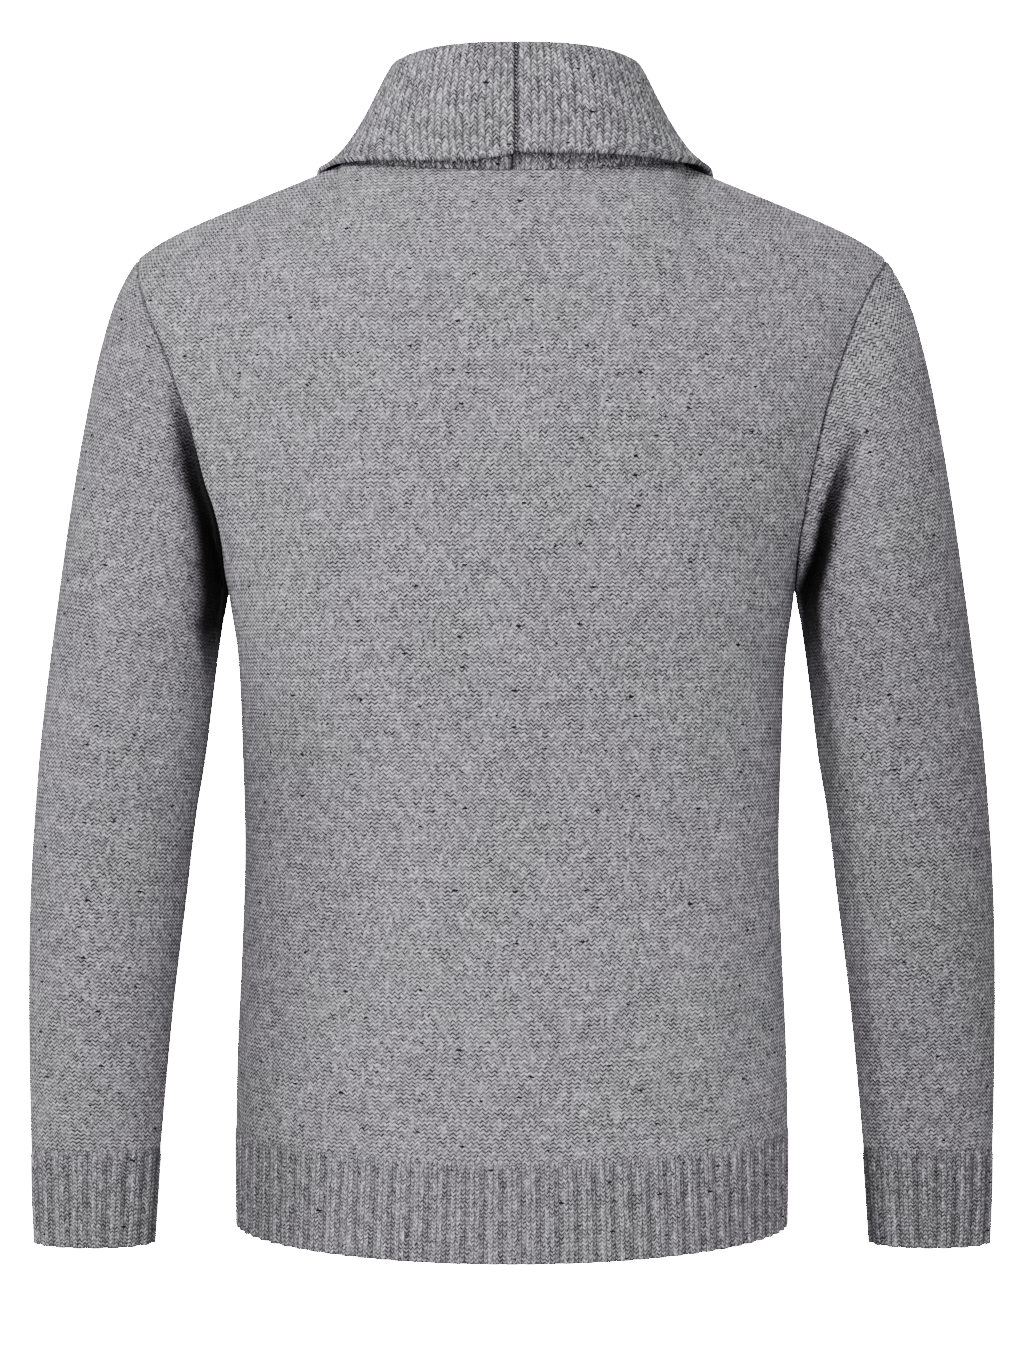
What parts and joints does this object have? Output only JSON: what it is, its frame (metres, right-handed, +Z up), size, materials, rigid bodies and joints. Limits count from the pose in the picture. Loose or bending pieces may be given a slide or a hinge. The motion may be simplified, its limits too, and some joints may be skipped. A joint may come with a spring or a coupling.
{
  "type": "shawl collar cardigan",
  "caption": "Heavy grey flecked knit cardigan with a folded ribbed shawl collar, ribbed hem, cuffs and front bands, filled out as worn with no wearer.",
  "frame": {"origin": "on the centre line at the base of the neck, level with the points where the neck and shoulders meet, where the wearer's shoulders hold the garment", "axes": "+Z up, towards the collar; -Y towards the garment's front; +X towards the wearer's left"},
  "size_m": [0.6104, 0.2621, 0.7541],
  "materials": {
    "body_knit": "matte heavy wool knit, grey with dark and light flecks, purl side out",
    "rib_knit": "matte heavy wool rib, grey with dark and light flecks",
    "button": "dark horn-look resin, slightly glossy"
  },
  "bodies": {
    "root": {"back": "body_knit", "front_left": "body_knit", "front_right": "body_knit", "sleeve_left": "body_knit", "sleeve_right": "body_knit", "hem_rib_back": "rib_knit", "hem_rib_left": "rib_knit", "hem_rib_right": "rib_knit", "cuff_left": "rib_knit", "cuff_right": "rib_knit", "collar_left": "rib_knit", "collar_right": "rib_knit", "band_left": "rib_knit", "band_right": "rib_knit", "button_1": "button", "button_2": "button", "button_3": "button", "button_4": "button", "button_5": "button"}
  },
  "joints": []
}
